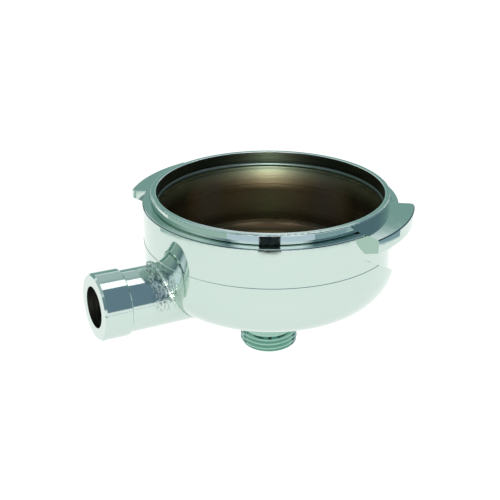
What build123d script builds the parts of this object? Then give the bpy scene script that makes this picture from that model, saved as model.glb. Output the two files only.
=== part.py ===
"""Portafilter body of an espresso machine: a chromed brass cup with two bayonet lugs,
a socket for the handle and a threaded outlet for the spout.

Origin: centre of the mouth, on the top land of the rim.
+Z points up out of the mouth, -Y runs along the neck towards the handle.
All sizes are in millimetres and all angles in degrees.
"""
import os
from math import cos, radians, sin, tan

from build123d import *

# Rim and mouth
MOUTH_R = 33.85             # inner wall of the cup
RIM_R = 35.5                # outside of the raised rim
RIM_H = 3.0                 # height of the raised rim above the shoulder
RIM_ROUND = 0.4             # outer top edge
MOUTH_ROUND = 0.15
FOOT_GROOVE_W = 0.7         # turned groove in the shoulder, round the foot of the raised rim
FOOT_GROOVE_DEPTH = 0.5

# Upper wall, turned
WALL_R = 38.0
SHOULDER_ROUND = 0.4
SEAM_Z = -14.3              # where the ring meets the bowl
SPIGOT_R = 35.8             # register that centres the bowl in the ring
SPIGOT_H = 2.0

# Bayonet lugs, two, half a turn apart
LUG_R = 42.6
LUG_START = 12.5            # trailing end, counted from +X
LUG_SPAN = 41.2
LUG_EDGE_T = 3.9            # thickness at the outer edge
LUG_ROOT_T = 5.6            # thickness at the wall
LUG_EDGE_CHAMFER = 0.3
LUG_TIP_FILLET = 1.6
LEAD_IN_RISE = 1.8          # how much thinner the leading end is
LEAD_IN_SPAN = 9.0
LUG_COUNT = 2

# Relief below each lug, which clears the lip of the machine's bayonet ring
RELIEF_R = 36.4
RELIEF_SPAN = 54.0
RELIEF_TOP_Z = -7.0
RELIEF_MID_Z = -18.3        # level of the sloping floor at the relief's pivot
RELIEF_PIVOT = 21.5         # angle from the trailing end to that pivot
RELIEF_SLOPE = 29.0

# Retaining spring for the filter basket
WIRE_R = 0.7
WIRE_RING_R = 34.1          # centre line of the wire
WIRE_Z = -4.3
WIRE_CLEARANCE = 0.08
SPRING_GAP = 14.0
SPRING_GAP_AT = 331.0

# Bowl
BOWL_R = 38.12
BOWL_EDGE_CHAMFER = 0.15
BELLY_Z = -20.2             # where the straight wall turns into the belly
BELLY_R = 12.6
BELLY_SWEEP = 68.3
FLOOR_FILLET_Z = -23.0
FLOOR_FILLET_R = 6.0
FLOOR_CENTRE_Z = -34.5
DRAIN_R = 5.5
DRAIN_CHAMFER = 0.8
BOSS_R = 11.0
BOSS_Z = -42.0              # underside of the outlet boss
NIPPLE_SEAT_Z = -37.0       # bottom of the counterbore that takes the nipple

# Outlet nipple, M18 x 1.5 male
THREAD_R = 8.93
THREAD_ROOT_R = 8.01
THREAD_PITCH = 1.5
THREAD_CREST = 0.26         # width of the flat on each crest
THREAD_TURN = 90.0          # where the thread starts around the axis
THREAD_LEAD = 0.95          # the thread starts this far beyond the end
THREAD_STOP = 0.2           # and stops this far short of the runout
THREAD_WASTE = 0.5          # turned off the end after threading
THREAD_END_Z = -51.8
RUNOUT_TOP_Z = -45.2
RUNOUT_W = 0.6
RUNOUT_R = 7.9
NIPPLE_CHAMFER = 0.8
NIPPLE_SPIGOT_R = 8.0       # the part that is brazed into the boss

# Both threads
THREAD_HALF_ANGLE = 30.0
THREAD_TRIM = 0.05          # the ridges are made this much proud and turned back to size

# Neck and handle socket
NECK_AXIS_Z = -27.5         # height of the neck axis where it crosses the cup axis
NECK_RISE = 2.0             # the neck rises outwards by this angle
NECK_R = 9.06
NECK_START = 12.0           # the bar is cut back from here to the bowl's surface
STUB_END = 41.5             # distance along the neck axis at which the socket is brazed on
STUB_SPIGOT_R = 6.2         # spigot that centres the socket on the stub
STUB_SPIGOT_L = 1.5
STEP_AT = 48.75             # distance of the step up to the collar
COLLAR_R = 9.78
SOCKET_END = 56.9
TAP_R = 5.22                # M12 x 1.75 female; minor radius, wider than the nominal 5.05
TAP_ROOT_R = 6.0
TAP_PITCH = 1.75
TAP_CREST = 0.63
TAP_TURN = 90.0
TAP_TURNS = 5
TAP_STOP = 0.2              # the thread stops this far short of the drilled hole's plain end
TAP_MOUTH_L = 1.2           # plain mouth ahead of the thread
END_CHAMFER = 0.6
STEP_CHAMFER = 0.35

# Brazed joint between neck and bowl
BRAZE_R = 2.0


def turned(points, arc=360.0):
    """Solid of revolution about Z from (radius, height) points."""
    outline = Polyline([(r, 0, z) for r, z in points], close=True)
    return revolve(make_face(outline), Axis.Z, arc)


def ring_section(inner, outer, low, high):
    """Corners of a rectangle in (radius, height)."""
    return [(inner, low), (outer, low), (outer, high), (inner, high)]


def neck_frame(distance):
    """Plane square to the neck axis, facing out, at a distance along that axis."""
    run = cos(radians(NECK_RISE))
    rise = sin(radians(NECK_RISE))
    centre = (0, -distance * run, NECK_AXIS_Z + distance * rise)
    return Plane(origin=centre, x_dir=(1, 0, 0), z_dir=(0, -run, rise))


def neck_bar(radius, start, end):
    """Round bar along the neck axis between two distances."""
    length = end - start
    return neck_frame((start + end) / 2) * Cylinder(radius, length)


def half_turn_copies(shape):
    """The shape repeated at equal angles around the cup axis."""
    return [Rot(0, 0, 360 / LUG_COUNT * index) * shape for index in range(LUG_COUNT)]


def lug():
    """One bayonet lug: flat top, underside falling towards the wall, thinner leading end."""
    inner_r = RELIEF_R - 1.0
    top = -RIM_H
    edge_low = top - LUG_EDGE_T
    root_low = top - LUG_ROOT_T
    fall = (edge_low - root_low) / (LUG_R - WALL_R)
    section = [
        (inner_r, top),
        (LUG_R - LUG_EDGE_CHAMFER, top),
        (LUG_R, top - LUG_EDGE_CHAMFER),
        (LUG_R, edge_low),
        (inner_r, edge_low - fall * (LUG_R - inner_r)),
    ]
    blank = turned(section, LUG_SPAN)
    corners = blank.edges().filter_by(Axis.Z).sort_by(Axis.X)
    tip = [e for e in corners if e.center().X**2 + e.center().Y**2 > (LUG_R - 1) ** 2]
    leading_tip = max(tip, key=lambda e: e.center().Y)
    blank = fillet(leading_tip, LUG_TIP_FILLET)

    end = radians(LUG_SPAN)
    inward = Vector(-cos(end), -sin(end), -fall)
    lead_length = LUG_R * radians(LEAD_IN_SPAN)
    backward = Vector(sin(end), -cos(end), -LEAD_IN_RISE / lead_length)
    corner = (LUG_R * cos(end), LUG_R * sin(end), edge_low + LEAD_IN_RISE)
    below = inward.cross(backward)
    if below.Z > 0:
        below = below * -1
    side = 40.0
    cutter = Plane(origin=corner, x_dir=inward, z_dir=below) * Pos(0, 0, side / 2) * Box(side, side, side)
    return Rot(0, 0, LUG_START) * (blank - cutter)


def relief():
    """Cut below one lug: a shallow sector of the wall with a sloping floor."""
    depth = BELLY_Z - BELLY_R
    sector = turned(ring_section(RELIEF_R, LUG_R, depth, RELIEF_TOP_Z), RELIEF_SPAN)
    pivot = radians(RELIEF_PIVOT)
    downhill = Vector(-sin(pivot), cos(pivot), -tan(radians(RELIEF_SLOPE)))
    radial = Vector(cos(pivot), sin(pivot), 0)
    below = radial.cross(downhill)
    if below.Z > 0:
        below = below * -1
    origin = (WALL_R * cos(pivot), WALL_R * sin(pivot), RELIEF_MID_Z)
    side = 120.0
    floor = Plane(origin=origin, x_dir=radial, z_dir=below) * Pos(0, 0, side / 2) * Box(side, side, side)
    return Rot(0, 0, LUG_START) * (sector - floor)


def circles_at(shape, radius, height):
    """Circular edges of a turned shape at a radius and height."""
    return [
        edge for edge in shape.edges().filter_by(GeomType.CIRCLE)
        if abs(edge.radius - radius) < 0.01 and abs(edge.center().Z - height) < 0.01
    ]


def bayonet_ring():
    """Upper ring: raised rim, shoulder, spring groove, turned wall and the two lugs."""
    shoulder = -RIM_H
    foot_r = RIM_R + FOOT_GROOVE_W
    body = turned([
        (MOUTH_R, SEAM_Z + SPIGOT_H),
        (MOUTH_R, 0),
        (RIM_R, 0),
        (RIM_R, shoulder - FOOT_GROOVE_DEPTH),
        (foot_r, shoulder - FOOT_GROOVE_DEPTH),
        (foot_r, shoulder),
        (WALL_R, shoulder),
        (WALL_R, SEAM_Z),
        (SPIGOT_R, SEAM_Z),
        (SPIGOT_R, SEAM_Z + SPIGOT_H),
    ])
    body = fillet(circles_at(body, RIM_R, 0), RIM_ROUND)
    body = fillet(circles_at(body, MOUTH_R, 0), MOUTH_ROUND)
    body = fillet(circles_at(body, WALL_R, shoulder), SHOULDER_ROUND)
    half_width = WIRE_R + WIRE_CLEARANCE
    groove_r = WIRE_RING_R + half_width
    groove = turned(ring_section(MOUTH_R - 1, groove_r, WIRE_Z - half_width, WIRE_Z + half_width))
    body -= groove
    for cut in half_turn_copies(relief()):
        body -= cut
    for piece in half_turn_copies(lug()):
        body += piece
    return body


def bowl_outside():
    """Outer surface of the bowl as a solid, without its cavity."""
    belly_r = BOWL_R - BELLY_R
    half = radians(BELLY_SWEEP / 2)
    end = radians(BELLY_SWEEP)
    belly_mid = (belly_r + BELLY_R * cos(half), 0, BELLY_Z - BELLY_R * sin(half))
    belly_end = (belly_r + BELLY_R * cos(end), 0, BELLY_Z - BELLY_R * sin(end))
    cone_z = belly_end[2] - (belly_end[0] - BOSS_R) * tan(radians(90 - BELLY_SWEEP))
    top = Polyline([
        (0, 0, SEAM_Z),
        (BOWL_R - BOWL_EDGE_CHAMFER, 0, SEAM_Z),
        (BOWL_R, 0, SEAM_Z - BOWL_EDGE_CHAMFER),
        (BOWL_R, 0, BELLY_Z),
    ])
    belly = ThreePointArc((BOWL_R, 0, BELLY_Z), belly_mid, belly_end)
    bottom = Polyline([
        belly_end,
        (BOSS_R, 0, cone_z),
        (BOSS_R, 0, BOSS_Z),
        (0, 0, BOSS_Z),
        (0, 0, SEAM_Z),
    ])
    return revolve(make_face(top + belly + bottom), Axis.Z)


def bowl_cavity():
    """Inside of the bowl: straight wall, filleted floor falling to the drain."""
    fillet_r = MOUTH_R - FLOOR_FILLET_R
    fillet_mid_r = fillet_r + FLOOR_FILLET_R * cos(radians(45))
    fillet_mid_z = FLOOR_FILLET_Z - FLOOR_FILLET_R * sin(radians(45))
    floor_edge_z = FLOOR_FILLET_Z - FLOOR_FILLET_R
    drain_edge_r = DRAIN_R + DRAIN_CHAMFER
    wall = Polyline([(0, 0, 0), (MOUTH_R, 0, 0), (MOUTH_R, 0, FLOOR_FILLET_Z)])
    corner = ThreePointArc(
        (MOUTH_R, 0, FLOOR_FILLET_Z),
        (fillet_mid_r, 0, fillet_mid_z),
        (fillet_r, 0, floor_edge_z),
    )
    floor = Polyline([
        (fillet_r, 0, floor_edge_z),
        (drain_edge_r, 0, FLOOR_CENTRE_Z),
        (DRAIN_R, 0, FLOOR_CENTRE_Z - DRAIN_CHAMFER),
        (DRAIN_R, 0, NIPPLE_SEAT_Z),
        (NIPPLE_SPIGOT_R, 0, NIPPLE_SEAT_Z),
        (NIPPLE_SPIGOT_R, 0, BOSS_Z - 1),
        (0, 0, BOSS_Z - 1),
        (0, 0, 0),
    ])
    return revolve(make_face(wall + corner + floor), Axis.Z)


def bowl():
    """Lower cup, from the seam down to the outlet boss, with the register for the ring."""
    body = bowl_outside()
    body += turned(ring_section(0, SPIGOT_R, SEAM_Z - 1, SEAM_Z + SPIGOT_H))
    body -= bowl_cavity()
    for cut in half_turn_copies(relief()):
        body -= cut
    return body


def thread_ridge(root_r, crest_r, pitch, crest, low, high):
    """Helical ridge about Z, rooted just inside the material at the root radius."""
    overlap = 0.05
    depth = abs(crest_r - root_r)
    outward = (crest_r - root_r) / depth
    foot_r = root_r - overlap * outward
    foot_half = crest / 2 + (depth + overlap) * tan(radians(THREAD_HALF_ANGLE))
    path = Helix(pitch, high - low, crest_r, center=(0, 0, low))
    profile = Polyline([
        (foot_r, 0, low - foot_half),
        (foot_r, 0, low + foot_half),
        (crest_r, 0, low + crest / 2),
        (crest_r, 0, low - crest / 2),
    ], close=True)
    return sweep(make_face(profile), path=path, is_frenet=True)


def outlet_nipple():
    """Nipple brazed into the boss, with a runout groove and a helical male thread."""
    runout_low = RUNOUT_TOP_Z - RUNOUT_W
    runout_mid = RUNOUT_TOP_Z - RUNOUT_W / 2
    blank_end = THREAD_END_Z - THREAD_WASTE
    core = turned([
        (DRAIN_R, NIPPLE_SEAT_Z),
        (NIPPLE_SPIGOT_R, NIPPLE_SEAT_Z),
        (NIPPLE_SPIGOT_R, BOSS_Z),
        (THREAD_R, BOSS_Z),
        (THREAD_R, RUNOUT_TOP_Z),
        (RUNOUT_R, RUNOUT_TOP_Z),
        (RUNOUT_R, runout_low),
        (THREAD_ROOT_R, runout_low),
        (THREAD_ROOT_R, blank_end),
        (DRAIN_R, blank_end),
    ])
    ridge = thread_ridge(
        THREAD_ROOT_R,
        THREAD_R + THREAD_TRIM,
        THREAD_PITCH,
        THREAD_CREST,
        THREAD_END_Z - THREAD_LEAD,
        runout_low - THREAD_STOP,
    )
    clear_r = THREAD_R + 2
    clear_z = THREAD_END_Z - 3
    waste = turned([
        (THREAD_R, runout_mid),
        (THREAD_R, THREAD_END_Z + NIPPLE_CHAMFER),
        (THREAD_R - NIPPLE_CHAMFER, THREAD_END_Z),
        (DRAIN_R - 1, THREAD_END_Z),
        (DRAIN_R - 1, clear_z),
        (clear_r, clear_z),
        (clear_r, runout_mid),
    ])
    return core + Rot(0, 0, THREAD_TURN) * ridge - waste


def neck():
    """Solid stub of the neck, saddle cut to the bowl, with a spigot for the socket."""
    body = neck_bar(NECK_R, NECK_START, STUB_END)
    body -= bowl_outside()
    return body + neck_bar(STUB_SPIGOT_R, STUB_END - 1, STUB_END + STUB_SPIGOT_L)


def handle_socket():
    """Turned tube and collar, with the tapped hole for the handle."""
    collar = neck_bar(COLLAR_R, STEP_AT, SOCKET_END)
    rims = collar.edges().filter_by(GeomType.CIRCLE).sort_by(Axis.Y)
    collar = chamfer(rims[0], END_CHAMFER)
    inner_rim = collar.edges().filter_by(GeomType.CIRCLE).sort_by(Axis.Y)[-1]
    collar = chamfer(inner_rim, STEP_CHAMFER)
    body = collar + neck_bar(NECK_R, STUB_END, STEP_AT + 1)
    body -= neck_bar(STUB_SPIGOT_R, STUB_END - 1, STUB_END + STUB_SPIGOT_L)
    thread_end = SOCKET_END - TAP_MOUTH_L
    thread_start = thread_end - TAP_TURNS * TAP_PITCH
    body -= neck_bar(TAP_ROOT_R, thread_start - TAP_STOP, SOCKET_END + 1)
    ridge = thread_ridge(TAP_ROOT_R, TAP_R - THREAD_TRIM, TAP_PITCH, TAP_CREST, thread_start, thread_end)
    body += neck_frame(0) * Rot(0, 0, TAP_TURN) * ridge
    return body - neck_bar(TAP_R, STUB_END, SOCKET_END + 1)


def neck_braze():
    """Fillet of braze metal around the foot of the neck."""
    outside = bowl_outside()
    bar = neck_bar(NECK_R, NECK_START, STEP_AT)
    joined = outside + bar
    foot = [edge for edge in joined.edges() if edge.geom_type not in (GeomType.LINE, GeomType.CIRCLE)]
    filleted = fillet(foot, BRAZE_R)
    return filleted - outside - bar


def basket_spring():
    """Open wire ring that lies in the groove and grips the filter basket."""
    section = Plane.XZ * Pos(WIRE_RING_R, WIRE_Z) * Circle(WIRE_R)
    wire = revolve(section, Axis.Z, 360 - SPRING_GAP)
    return Rot(0, 0, SPRING_GAP_AT + SPRING_GAP / 2) * wire


PARTS = {
    "bayonet_ring": bayonet_ring,
    "bowl": bowl,
    "outlet_nipple": outlet_nipple,
    "neck": neck,
    "handle_socket": handle_socket,
    "neck_braze": neck_braze,
    "basket_spring": basket_spring,
}

os.makedirs("parts", exist_ok=True)
for name, make in PARTS.items():
    export_step(make(), f"parts/{name}.step")
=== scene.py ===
"""Looks of the portafilter body: polished chrome outside, bare turned brass inside, in a pale studio."""
import math

import bmesh
import bpy
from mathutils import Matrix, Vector
from mathutils import noise as field

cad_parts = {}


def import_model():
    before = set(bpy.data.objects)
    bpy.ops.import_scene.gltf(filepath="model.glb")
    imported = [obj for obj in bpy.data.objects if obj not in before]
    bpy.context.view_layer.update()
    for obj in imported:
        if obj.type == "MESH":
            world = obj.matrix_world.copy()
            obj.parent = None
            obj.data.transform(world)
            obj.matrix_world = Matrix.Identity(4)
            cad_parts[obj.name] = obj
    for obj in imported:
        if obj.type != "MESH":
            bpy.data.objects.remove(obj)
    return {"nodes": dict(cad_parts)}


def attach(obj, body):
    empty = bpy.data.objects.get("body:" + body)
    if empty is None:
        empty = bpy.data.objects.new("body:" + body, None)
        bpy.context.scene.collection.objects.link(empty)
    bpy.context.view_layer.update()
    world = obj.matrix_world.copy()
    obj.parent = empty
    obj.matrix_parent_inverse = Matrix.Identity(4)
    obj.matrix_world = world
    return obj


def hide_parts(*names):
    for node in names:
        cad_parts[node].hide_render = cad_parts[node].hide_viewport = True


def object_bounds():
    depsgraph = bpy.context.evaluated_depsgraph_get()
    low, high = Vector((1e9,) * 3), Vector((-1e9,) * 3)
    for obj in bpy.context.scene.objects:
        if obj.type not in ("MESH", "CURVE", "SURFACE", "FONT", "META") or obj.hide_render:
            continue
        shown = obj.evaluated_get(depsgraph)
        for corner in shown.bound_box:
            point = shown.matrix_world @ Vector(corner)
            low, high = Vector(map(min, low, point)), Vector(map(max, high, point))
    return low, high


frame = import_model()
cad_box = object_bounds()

MM = 0.001

# Camera, in the object's frame
CAMERA_TARGET = Vector((3.3, -8.7, -17.2)) * MM
CAMERA_DISTANCE = 257.4 * MM
CAMERA_AZIMUTH = -29.0
CAMERA_ELEVATION = 24.66
CAMERA_LENS_MM = 62.2
SENSOR_MM = 36.0

# Studio
FLOOR_SIZE = 6.0
FLOOR_GLOW = (1.0, 1.0, 1.0)
FLOOR_PAINT = (0.07, 0.07, 0.07)
FLOOR_GRAIN = (0.065, 0.065, 0.065)
OVERHEAD_POWER = 9.0
OVERHEAD_SIZE = 0.9
OVERHEAD_HEIGHT = 0.9
WINDOW_POWER = 10.5
WINDOW_SIZE = (0.16, 0.08)
WINDOW_TINT = (1.0, 0.98, 0.86)
WINDOW_PLACE = (0.7, -0.004, 0.09)      # towards the camera's side, to the right, up
ROOM_EDGE = 145.1 * MM
ROOM_INNER = 36.7 * MM
ROOM_OUTER = 30 * MM
ROOM_CENTRE = -30.4
ROOM_STEPS = 12
CARD_LIFT = 0.2 * MM
ROOM_SECTORS = (
    (-56, -20, (0.48, 0.62, 0.58)),
    (-20, 21, (0.70, 0.77, 0.93)),
    (21, 60, (0.30, 0.43, 0.49)),
)
TRIPOD_HALF = 4.9
TRIPOD_START = 3.0 * MM
TRIPOD_END = 0.4
PHOTOGRAPHER_AT = 0.32
PHOTOGRAPHER_SIDES = (-60 * MM, 44 * MM)
PHOTOGRAPHER_LEVELS = (-10 * MM, 230 * MM)
DARK_LIGHT = (0.004, 0.009, 0.013)
BACK_LOW = (0.27, 0.43, 0.41)
BACK_HIGH = (0.55, 0.65, 0.66)
STRIP_LIGHT = (1.15, 1.13, 1.22)
SIDE_DARK = (0.19, 0.275, 0.36)
WINDOW_LIGHT = (1.45, 1.35, 1.55)
CEILING_LIGHT = (2.0, 1.9, 1.95)
CAMERA_WHITE = (1.1, 1.1, 1.1)

# Surroundings, as parts of a direction's components
BACK_LEVELS = (0.38, 0.49)
STRIP_RISE = (0.388, 0.405)
STRIP_FALL = (0.44, 0.48)
SIDE_FADE = (-0.35, 0.15)
WINDOW_FADE = (0.80, 0.90)
SOFTBOX_HALF = 0.18
SOFTBOX_SHIFT = 0.02
SOFTBOX_BLUR = 0.02
SOFTBOX_FRONT = (-0.17, -0.13)
SOFTBOX_LEVEL = (0.70, 0.74)

# Where the finishes change
GROOVE_R = 34.95 * MM
PLATED_Z = -0.15 * MM
PLATED_FADE = 0.1 * MM
LIP_Z = -4.1 * MM
LIP_EDGE = (33.8 * MM, 34.15 * MM)
SHOULDER_EDGE = (37.62 * MM, 37.985 * MM)
LUG_EDGE = (42.32 * MM, 42.58 * MM)
EDGE_LEVEL = (-3.36 * MM, -3.03 * MM)
# Painted highlights: two light streaks painted on the bare brass inside, placed by the camera's azimuth
STREAK_TURN = 37.0          # the light streaks inside, left and right of the side facing the camera
STREAK_FADE = (0.975, 0.999)
# Painted shade: how far round from the far wall the inside of the cup is painted darker
SIDE_SHADE_FADE = (0.55, 0.80)
UPPER_FADE = (-6 * MM, -12 * MM)
LOWER_FADE = (-20 * MM, -26 * MM)
FLOOR_INSIDE_Z = -37.0 * MM
FLOOR_SLOPE = 0.255
ROOT_ROUGH_FROM = -43.5 * MM
ROOT_ROUGH_FULL = -40.0 * MM
ROOT_BACK = (-38.0 * MM, -36.0 * MM)
ROOT_LEVEL = (-27.5 * MM, -24.5 * MM)
ROOT_NEAREST = 10 * MM
ROOT_FARTHEST = 45 * MM

# Texture scales, in features per metre, and depths
DRIFT_SCALE = 60.0
POLISH_SCALE = 500.0
WAVE_SCALE = 120.0
LATHE_SCALE = 3500.0
TICK_SCALE = 1700.0
TICK_DEPTH = 0.00014
RING_SCALE = 900.0
RING_DEPTH = 0.00006
STAIN_SCALE = 75.0
PAPER_SCALE = 900.0

# Colours of the finishes
SPECK_TINT = (0.08, 0.12, 0.12)
BRASS_LIGHT = (1.0, 0.80, 0.50)
BRASS_DARK = (0.78, 0.58, 0.34)
# Painted highlight colour of the two light streaks inside the cup
PAINTED_STREAK_HIGHLIGHT_TINT = (1.0, 0.86, 0.78)
# Painted shade colour for the inside of the cup away from the far wall
PAINTED_SIDE_SHADE_TINT = (0.13, 0.145, 0.10)
UPPER_TINT = (0.50, 0.62, 0.46)
RING_TINT = (0.60, 0.52, 0.34)
LOWER_TINT = (0.07, 0.055, 0.028)
LIP_TINT = (0.06, 0.078, 0.055)
# Painted dark reflection colour along the outer edges of the shoulder and the lugs
EDGE_DARK_REFLECTION_TINT = (0.09, 0.15, 0.15)
EDGE_STRENGTH = 0.85
# Painted highlight colour along the inner edge of the rim
PAINTED_LIP_HIGHLIGHT_TINT = (0.96, 1.0, 0.98)
# Painted shade colour inside the bore of the neck
PAINTED_BORE_SHADE_TINT = (0.012, 0.013, 0.011)
HOLE_ROUGH = 0.6

# Neck and bowl, as the weld bead follows them
NECK_AXIS_Z = -27.5 * MM
NECK_RISE = math.radians(2.0)
NECK_OUT = Vector((0, -math.cos(NECK_RISE), math.sin(NECK_RISE)))
NECK_UP = Vector((0, math.sin(NECK_RISE), math.cos(NECK_RISE)))
NECK_SIDE = Vector((1, 0, 0))
NECK_R = 9.06 * MM
ROOT_RIM = (NECK_R + 0.3 * MM, NECK_R + MM)
BOWL_R = 38.12 * MM
BELLY_Z = -20.2 * MM
BELLY_R = 12.6 * MM
BORE_R = 6.03 * MM
BEAD_R = 0.65 * MM
BEAD_STEPS = 360
BEAD_SIDES = 16
BEAD_RIPPLES = 44
BEAD_OFFSET = 0.12 * MM
BEAD_DRIFT = 0.1 * MM
LUMP_SCALE = 900.0
PIT_SCALE = 2600.0
PIT_DEPTH = 0.06 * MM


def link(tree, source, target):
    """Joins an output socket to an input socket."""
    tree.links.new(source, target)


def put(tree, value, socket):
    """Gives a socket a link or a plain value."""
    if isinstance(value, bpy.types.NodeSocket):
        link(tree, value, socket)
    elif isinstance(value, tuple) and len(socket.default_value) == len(value) + 1:
        socket.default_value = (*value, 1.0)
    else:
        socket.default_value = value


def new_material(name):
    """A material with its Principled shader, ready for nodes."""
    material = bpy.data.materials.new(name)
    material.use_nodes = True
    return material, material.node_tree, material.node_tree.nodes["Principled BSDF"]


def spread(tree, value, start, end, low=0.0, high=1.0, kind="LINEAR"):
    """Maps start to end onto low to high, clamped."""
    node = tree.nodes.new("ShaderNodeMapRange")
    node.interpolation_type = kind
    node.inputs["From Min"].default_value = start
    node.inputs["From Max"].default_value = end
    node.inputs["To Min"].default_value = low
    node.inputs["To Max"].default_value = high
    link(tree, value, node.inputs["Value"])
    return node.outputs["Result"]


def calculate(tree, operation, first, second=0.0, third=None):
    """One Math node."""
    node = tree.nodes.new("ShaderNodeMath")
    node.operation = operation
    put(tree, first, node.inputs[0])
    put(tree, second, node.inputs[1])
    if third is not None:
        put(tree, third, node.inputs[2])
    return node.outputs["Value"]


def product(tree, first, *others):
    """Several values multiplied together."""
    for value in others:
        first = calculate(tree, "MULTIPLY", first, value)
    return first


def noise(tree, vector, scale, detail=3.0, roughness=0.5):
    """Noise over a position, with features about 1/scale metres across."""
    node = tree.nodes.new("ShaderNodeTexNoise")
    node.inputs["Scale"].default_value = scale
    node.inputs["Detail"].default_value = detail
    node.inputs["Roughness"].default_value = roughness
    link(tree, vector, node.inputs["Vector"])
    return node.outputs["Fac"]


def position(tree):
    """The point on the object, in its own frame."""
    return tree.nodes.new("ShaderNodeTexCoord").outputs["Object"]


def split(tree, vector):
    """The three components of a vector."""
    node = tree.nodes.new("ShaderNodeSeparateXYZ")
    link(tree, vector, node.inputs["Vector"])
    return node.outputs["X"], node.outputs["Y"], node.outputs["Z"]


def join(tree, x=0.0, y=0.0, z=0.0):
    """A vector from three components."""
    node = tree.nodes.new("ShaderNodeCombineXYZ")
    for value, socket in zip((x, y, z), node.inputs):
        put(tree, value, socket)
    return node.outputs["Vector"]


def mix_colour(tree, factor, first, second):
    """Mixes two colours by a factor socket."""
    node = tree.nodes.new("ShaderNodeMix")
    node.data_type = "RGBA"
    link(tree, factor, node.inputs["Factor"])
    put(tree, first, node.inputs[6])
    put(tree, second, node.inputs[7])
    return node.outputs[2]


def mix_value(tree, factor, first, second):
    """Mixes two numbers by a factor socket."""
    node = tree.nodes.new("ShaderNodeMix")
    link(tree, factor, node.inputs["Factor"])
    put(tree, first, node.inputs[2])
    put(tree, second, node.inputs[3])
    return node.outputs[0]


def within(tree, value, low, high):
    """One between two bounds, zero outside."""
    above = calculate(tree, "GREATER_THAN", value, low)
    return product(tree, above, calculate(tree, "LESS_THAN", value, high))


def axis_distance(tree, first, second):
    """Distance from an axis, from the two coordinates across it."""
    squares = [calculate(tree, "POWER", value, 2.0) for value in (first, second)]
    return calculate(tree, "SQRT", calculate(tree, "ADD", *squares))


def facing(tree, point, radius, turn):
    """Cosine of the angle round the cup axis between a point and a direction given in degrees."""
    x, y, _ = split(tree, point)
    angle = math.radians(turn)
    across = calculate(tree, "MULTIPLY", y, math.sin(angle))
    return calculate(tree, "DIVIDE", calculate(tree, "MULTIPLY_ADD", x, math.cos(angle), across), radius)


def bump(tree, height, distance, below=None, strength=1.0):
    """A bump layer, laid over another one."""
    node = tree.nodes.new("ShaderNodeBump")
    node.inputs["Distance"].default_value = distance
    put(tree, strength, node.inputs["Strength"])
    link(tree, height, node.inputs["Height"])
    if below is not None:
        link(tree, below, node.inputs["Normal"])
    return node.outputs["Normal"]


def neck_distance(tree, x, y, z):
    """Distance from the neck axis."""
    level = calculate(tree, "MULTIPLY_ADD", y, math.tan(NECK_RISE), -NECK_AXIS_Z)
    return axis_distance(tree, x, calculate(tree, "ADD", z, level))


def root_mask(tree, y, z, from_neck):
    """Where the metal is left rough, at the upper root of the neck."""
    return product(
        tree,
        spread(tree, y, ROOT_ROUGH_FROM, ROOT_ROUGH_FULL, kind="SMOOTHSTEP"),
        spread(tree, y, *ROOT_BACK, 1.0, 0.0),
        spread(tree, from_neck, *ROOT_RIM, 1.0, 0.0),
        spread(tree, z, *ROOT_LEVEL),
    )


def root_ticks(tree, x, y, z):
    """Short file marks."""
    stretched = join(tree, calculate(tree, "MULTIPLY", x, 0.6), y, calculate(tree, "MULTIPLY", z, 0.5))
    return noise(tree, stretched, TICK_SCALE, 2.0, 0.7)


def bare_mask(tree, z, radius):
    """The inside of the cup below the plated rim, down to its conical floor."""
    lowest = calculate(tree, "MULTIPLY_ADD", radius, FLOOR_SLOPE, FLOOR_INSIDE_Z)
    return product(
        tree,
        calculate(tree, "LESS_THAN", radius, GROOVE_R),
        calculate(tree, "GREATER_THAN", z, lowest),
        spread(tree, z, PLATED_Z, PLATED_Z - PLATED_FADE),
    )


def bare_brass(tree, point, radius, rings):
    """Colour of the unplated brass inside, brown and stained, and darker towards the bottom of the cup.

    The two light streaks and the darker sides stand in for reflections, and follow the camera's azimuth.
    """
    z = split(tree, point)[2]
    far_side = CAMERA_AZIMUTH + 180
    stain = noise(tree, point, STAIN_SCALE, 5.0, 0.6)
    base = mix_colour(tree, stain, BRASS_LIGHT, BRASS_DARK)
    # painted highlights: light streaks left and right of the far wall, painted where reflections would fall
    for side in (-1, 1):
        streak = facing(tree, point, radius, far_side + side * STREAK_TURN)
        painted_highlight = product(tree, spread(tree, streak, *STREAK_FADE, 0.0, 1.3, "SMOOTHSTEP"), stain)
        base = mix_colour(tree, painted_highlight, base, PAINTED_STREAK_HIGHLIGHT_TINT)
    # painted shade: the inside is painted darker away from the far wall that faces the camera
    painted_side_shade = spread(tree, facing(tree, point, radius, far_side), *SIDE_SHADE_FADE, 1.0, 0.0, "SMOOTHSTEP")
    base = mix_colour(tree, painted_side_shade, base, PAINTED_SIDE_SHADE_TINT)
    base = mix_colour(tree, spread(tree, z, *UPPER_FADE), UPPER_TINT, base)
    base = mix_colour(tree, spread(tree, rings, 0.4, 0.7, 0.0, 0.35), base, RING_TINT)
    # darker towards the bottom of the cup
    base = mix_colour(tree, spread(tree, z, *LOWER_FADE), base, LOWER_TINT)
    return mix_colour(tree, calculate(tree, "GREATER_THAN", z, LIP_Z), base, LIP_TINT)


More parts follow.
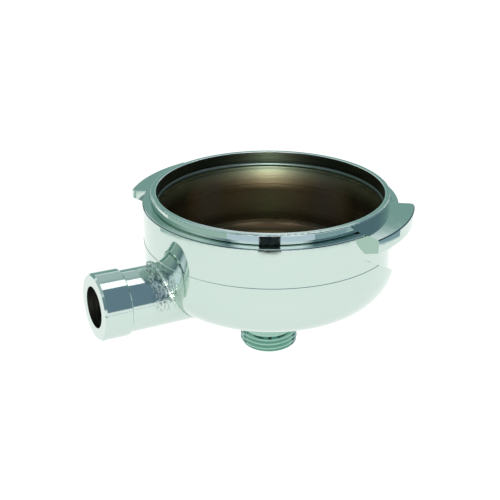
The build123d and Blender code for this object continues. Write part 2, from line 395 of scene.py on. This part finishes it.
def chrome(name, tint, shade, rough, waviness, marks, bare_inside=False, bore=False, edges=False):
    """Plated metal: slight colour drift, uneven polish, soft waves, lathe marks and a rough root of the neck.

    With bare_inside, the inside of the cup is unplated brass with turning marks. With bore, the hole in the
    neck is painted dark, a painted shade. With edges, the shoulder and the lugs have a painted dark line
    along their outer edges, a painted dark reflection, and the inner edge of the rim a painted highlight
    line.
    """
    material, tree, shader = new_material(name)
    shader.inputs["Metallic"].default_value = 1.0
    point = position(tree)
    x, y, z = split(tree, point)
    radius = axis_distance(tree, x, y)
    from_neck = neck_distance(tree, x, y, z)
    colour = mix_colour(tree, noise(tree, point, DRIFT_SCALE, 3.0), tint, shade)
    gloss = spread(tree, noise(tree, point, POLISH_SCALE, 4.0, 0.6), 0.3, 0.7, *rough)
    normal = bump(tree, noise(tree, point, WAVE_SCALE, 2.0), waviness)
    normal = bump(tree, noise(tree, join(tree, radius, z), LATHE_SCALE, 2.0, 0.7), marks, normal)
    root = root_mask(tree, y, z, from_neck)
    ticks = root_ticks(tree, x, y, z)
    normal = bump(tree, ticks, TICK_DEPTH, normal, root)
    specks = product(tree, spread(tree, ticks, 0.50, 0.58, 0.0, 0.65), root)
    colour = mix_colour(tree, specks, colour, SPECK_TINT)
    if bare_inside:
        inside = bare_mask(tree, z, radius)
        rings = noise(tree, join(tree, radius, z), RING_SCALE, 4.0, 0.7)
        colour = mix_colour(tree, inside, colour, bare_brass(tree, point, radius, rings))
        gloss = mix_value(tree, inside, gloss, spread(tree, rings, 0.3, 0.7, 0.24, 0.36))
        normal = bump(tree, rings, RING_DEPTH, normal, inside)
    if edges:
        # painted dark reflection: dark lines along the outer edges of the shoulder and the lugs
        shoulder = within(tree, radius, *SHOULDER_EDGE)
        corner = calculate(tree, "ADD", shoulder, within(tree, radius, *LUG_EDGE))
        corner = product(tree, corner, within(tree, z, *EDGE_LEVEL), EDGE_STRENGTH)
        colour = mix_colour(tree, corner, colour, EDGE_DARK_REFLECTION_TINT)
        # painted highlight: a bright line along the inner edge of the rim
        painted_lip_highlight = product(tree, within(tree, radius, *LIP_EDGE), calculate(tree, "GREATER_THAN", z, PLATED_Z))
        colour = mix_colour(tree, painted_lip_highlight, colour, PAINTED_LIP_HIGHLIGHT_TINT)
    if bore:
        # painted shade: the bore of the neck is coloured near black
        hole = calculate(tree, "LESS_THAN", from_neck, BORE_R)
        colour = mix_colour(tree, hole, colour, PAINTED_BORE_SHADE_TINT)
        gloss = mix_value(tree, hole, gloss, HOLE_ROUGH)
    link(tree, colour, shader.inputs["Base Color"])
    link(tree, gloss, shader.inputs["Roughness"])
    link(tree, normal, shader.inputs["Normal"])
    return material


def inside_bowl(point):
    """Whether a point is within the bowl's outer surface, above its cone."""
    radius = math.hypot(point.x, point.y)
    if point.z > BELLY_Z:
        return radius < BOWL_R
    belly = BOWL_R - BELLY_R
    if radius < belly:
        return point.z > BELLY_Z - BELLY_R
    return math.hypot(radius - belly, point.z - BELLY_Z) < BELLY_R


def neck_point(distance, angle, radius):
    """A point around the neck axis, at a distance along it from the cup axis."""
    centre = Vector((0, 0, NECK_AXIS_Z)) + NECK_OUT * distance
    return centre + (NECK_SIDE * math.cos(angle) + NECK_UP * math.sin(angle)) * radius


def root_line():
    """Points where the neck meets the bowl, once round the neck."""
    points = []
    for step in range(BEAD_STEPS):
        angle = 2 * math.pi * step / BEAD_STEPS
        near, far = ROOT_NEAREST, ROOT_FARTHEST
        for _ in range(30):
            middle = (near + far) / 2
            if inside_bowl(neck_point(middle, angle, NECK_R)):
                near = middle
            else:
                far = middle
        points.append((angle, near))
    return points


def weld_bead():
    """Rippled bead of braze metal laid in the corner between neck and bowl."""
    mesh = bmesh.new()
    rings = []
    for angle, distance in root_line():
        foot = neck_point(distance, angle, NECK_R)
        radial = (neck_point(distance, angle, NECK_R + MM) - foot).normalized()
        lump = field.noise(foot * LUMP_SCALE)
        ripple = math.sin(angle * BEAD_RIPPLES + 2.5 * lump)
        size = BEAD_R * (1 + 0.05 * ripple + 0.25 * lump)
        centre = foot + (radial + NECK_OUT) * (BEAD_OFFSET + BEAD_DRIFT * lump)
        ring = []
        for side in range(BEAD_SIDES):
            turn = 2 * math.pi * side / BEAD_SIDES
            offset = radial * math.cos(turn) + NECK_OUT * math.sin(turn)
            pit = PIT_DEPTH * field.noise((centre + offset * size) * PIT_SCALE)
            ring.append(mesh.verts.new(centre + offset * (size + pit)))
        rings.append(ring)
    for index, ring in enumerate(rings):
        following = rings[(index + 1) % len(rings)]
        for side in range(BEAD_SIDES):
            other = (side + 1) % BEAD_SIDES
            mesh.faces.new((ring[side], ring[other], following[other], following[side]))
    bmesh.ops.recalc_face_normals(mesh, faces=mesh.faces)
    for face in mesh.faces:
        face.smooth = True
    data = bpy.data.meshes.new("weld_bead")
    mesh.to_mesh(data)
    mesh.free()
    piece = bpy.data.objects.new("weld_bead", data)
    bpy.context.scene.collection.objects.link(piece)
    return piece


def front(distance, sideways, height):
    """A point given by its distance towards the camera's side, to the right, and up."""
    angle = math.radians(CAMERA_AZIMUTH)
    forward = Vector((math.cos(angle), math.sin(angle), 0))
    right = Vector((-math.sin(angle), math.cos(angle), 0))
    return forward * distance + right * sideways + Vector((0, 0, height))


def flat_panel(name, corners):
    """A flat panel of the studio, from its corners in order."""
    mesh = bpy.data.meshes.new(name)
    mesh.from_pydata([tuple(corner) for corner in corners], [], [tuple(range(len(corners)))])
    panel = bpy.data.objects.new(name, mesh)
    bpy.context.scene.collection.objects.link(panel)
    return panel


def studio_floor():
    """White paper, lit from within enough to lose all but the faintest shadow."""
    lowest = cad_box[0][2]
    half = FLOOR_SIZE / 2
    floor = flat_panel("floor", [
        (-half, -half, lowest), (half, -half, lowest), (half, half, lowest), (-half, half, lowest),
    ])
    material, tree, shader = new_material("floor_paper")
    grain = noise(tree, position(tree), PAPER_SCALE)
    link(tree, mix_colour(tree, grain, FLOOR_PAINT, FLOOR_GRAIN), shader.inputs["Base Color"])
    shader.inputs["Roughness"].default_value = 0.9
    shader.inputs["Specular IOR Level"].default_value = 0.0
    shader.inputs["Emission Color"].default_value = (*FLOOR_GLOW, 1.0)
    shader.inputs["Emission Strength"].default_value = 1.0
    floor.data.materials.append(material)


def reflected_card(name, corners, colour):
    """A panel that only the chrome sees: the room beyond the white paper."""
    card = flat_panel(name, corners)
    material = bpy.data.materials.new(name)
    material.use_nodes = True
    tree = material.node_tree
    tree.nodes.clear()
    glow = tree.nodes.new("ShaderNodeEmission")
    glow.inputs["Color"].default_value = (*colour, 1.0)
    output = tree.nodes.new("ShaderNodeOutputMaterial")
    link(tree, glow.outputs["Emission"], output.inputs["Surface"])
    card.data.materials.append(material)
    card.visible_camera = False
    card.visible_diffuse = False
    card.visible_shadow = False


def room_point(turn, beyond, level):
    """A point on the near edge of the room's floor, as the rim's band mirrors it at a turn from the front.

    The point may lie a distance beyond the edge, along the mirrored line of sight.
    """
    band = math.radians(ROOM_CENTRE + turn)
    sight = math.radians(ROOM_CENTRE + 2 * turn)
    reach = ROOM_EDGE - ROOM_INNER + beyond
    x = ROOM_INNER * math.cos(band) + reach * math.cos(sight)
    y = ROOM_INNER * math.sin(band) + reach * math.sin(sight)
    return Vector((x, y, level))


def room():
    """The room on the camera's side of the white paper."""
    level = cad_box[0][2] + CARD_LIFT
    for index, (first, last, colour) in enumerate(ROOM_SECTORS):
        steps = [first + (last - first) * step / ROOM_STEPS for step in range(ROOM_STEPS + 1)]
        edge = [room_point(turn, 0, level) for turn in steps]
        far = [room_point(turn, ROOM_OUTER, level) for turn in reversed(steps)]
        reflected_card(f"room_floor_{index}", edge + far, colour)
    level = level + CARD_LIFT
    reflected_card("tripod", [
        room_point(-TRIPOD_HALF, -TRIPOD_START, level),
        room_point(TRIPOD_HALF, -TRIPOD_START, level),
        room_point(TRIPOD_HALF, TRIPOD_END, level),
        room_point(-TRIPOD_HALF, TRIPOD_END, level),
    ], DARK_LIGHT)
    left, right = PHOTOGRAPHER_SIDES
    low, high = PHOTOGRAPHER_LEVELS
    reflected_card("photographer", [
        front(PHOTOGRAPHER_AT, left, low),
        front(PHOTOGRAPHER_AT, right, low),
        front(PHOTOGRAPHER_AT, right, high),
        front(PHOTOGRAPHER_AT, left, high),
    ], DARK_LIGHT)


def overhead():
    """Large soft light above."""
    data = bpy.data.lights.new("overhead", "AREA")
    data.shape = "DISK"
    data.size = OVERHEAD_SIZE
    data.energy = OVERHEAD_POWER
    lamp = bpy.data.objects.new("overhead", data)
    lamp.location = (0, 0, OVERHEAD_HEIGHT)
    lamp.visible_glossy = False
    bpy.context.scene.collection.objects.link(lamp)


def window():
    """Low light from the camera's side, which shines over the near rim onto the far wall of the cup."""
    data = bpy.data.lights.new("window", "AREA")
    data.shape = "RECTANGLE"
    data.size, data.size_y = WINDOW_SIZE
    data.energy = WINDOW_POWER
    data.color = WINDOW_TINT
    lamp = bpy.data.objects.new("window", data)
    lamp.location = front(*WINDOW_PLACE)
    lamp.rotation_euler = lamp.location.to_track_quat("Z", "Y").to_euler()
    bpy.context.scene.collection.objects.link(lamp)


def alignment(tree, direction, aim):
    """Cosine of the angle between a direction and a fixed aim."""
    node = tree.nodes.new("ShaderNodeVectorMath")
    node.operation = "DOT_PRODUCT"
    node.inputs[1].default_value = aim.normalized()
    link(tree, direction, node.inputs[0])
    return node.outputs["Value"]


def world():
    """Surroundings: pale green-grey behind with a bright strip, dim blue-grey to the front and right.

    A bright window stands on the camera's side, and a softbox hangs overhead.
    """
    scene_world = bpy.data.worlds.new("studio")
    bpy.context.scene.world = scene_world
    scene_world.use_nodes = True
    tree = scene_world.node_tree
    direction = tree.nodes.new("ShaderNodeTexCoord").outputs["Generated"]
    x, y, height = split(tree, direction)
    back = mix_colour(tree, spread(tree, height, *BACK_LEVELS), BACK_LOW, BACK_HIGH)
    strip = product(tree, spread(tree, height, *STRIP_RISE), spread(tree, height, *STRIP_FALL, 1.0, 0.0))
    back = mix_colour(tree, strip, back, STRIP_LIGHT)
    sideways = alignment(tree, direction, front(1, 0.9, 0))
    around = mix_colour(tree, spread(tree, sideways, *SIDE_FADE), back, SIDE_DARK)
    at_window = alignment(tree, direction, front(0.91, 0, 0.41))
    around = mix_colour(tree, spread(tree, at_window, *WINDOW_FADE), around, WINDOW_LIGHT)
    off_centre = calculate(tree, "ABSOLUTE", calculate(tree, "ADD", x, SOFTBOX_SHIFT))
    softbox = product(
        tree,
        spread(tree, off_centre, SOFTBOX_HALF, SOFTBOX_HALF + SOFTBOX_BLUR, 1.0, 0.0),
        spread(tree, y, *SOFTBOX_FRONT),
        spread(tree, height, *SOFTBOX_LEVEL),
    )
    sky = mix_colour(tree, softbox, around, CEILING_LIGHT)
    rays = tree.nodes.new("ShaderNodeLightPath")
    seen = mix_colour(tree, rays.outputs["Is Camera Ray"], sky, CAMERA_WHITE)
    link(tree, seen, tree.nodes["Background"].inputs["Color"])


def camera():
    """The camera at the height and distance from which the part is shown."""
    data = bpy.data.cameras.new("camera")
    data.lens = CAMERA_LENS_MM
    data.sensor_width = SENSOR_MM
    data.clip_start = 0.01
    data.clip_end = 20.0
    viewer = bpy.data.objects.new("camera", data)
    azimuth = math.radians(CAMERA_AZIMUTH)
    elevation = math.radians(CAMERA_ELEVATION)
    away = Vector((
        math.cos(elevation) * math.cos(azimuth),
        math.cos(elevation) * math.sin(azimuth),
        math.sin(elevation),
    ))
    viewer.location = CAMERA_TARGET + away * CAMERA_DISTANCE
    viewer.rotation_euler = (-away).to_track_quat("-Z", "Y").to_euler()
    bpy.context.scene.collection.objects.link(viewer)
    bpy.context.scene.camera = viewer


TINT = (0.58, 0.69, 0.635)
SHADE = (0.55, 0.67, 0.61)
plate = chrome("chrome_plate", TINT, SHADE, (0.05, 0.10), 0.00003, 0.0000005, bare_inside=True)
turned = chrome("turned_chrome", TINT, SHADE, (0.03, 0.07), 0.00001, 0.000001, bare_inside=True, edges=True)
socket = chrome("socket_chrome", TINT, SHADE, (0.05, 0.11), 0.00001, 0.000001, bore=True)
beaded = chrome("braze_chrome", TINT, SHADE, (0.10, 0.22), 0.0001, 0.000001)
# Painted shade: the outlet's chrome is a darker copy of the plate, for the shadowed floor it mirrors
outlet_shaded_chrome = chrome("outlet_chrome_painted_shade", (0.36, 0.56, 0.49), (0.31, 0.50, 0.43), (0.06, 0.12), 0.00001, 0.000001)
wire = chrome("spring_wire", (0.11, 0.15, 0.14), (0.07, 0.10, 0.09), (0.38, 0.5), 0.00001, 0.000001)

for node, material in (
    ("bayonet_ring", turned),
    ("bowl", plate),
    ("neck", socket),
    ("handle_socket", socket),
    ("outlet_nipple", outlet_shaded_chrome),
    ("basket_spring", wire),
):
    frame["nodes"][node].material_slots[0].material = material

bead = weld_bead()
bead.data.materials.append(beaded)
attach(bead, "body")
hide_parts("neck_braze")

studio_floor()
overhead()
window()
room()
world()
camera()
bpy.context.scene.view_settings.view_transform = "Standard"
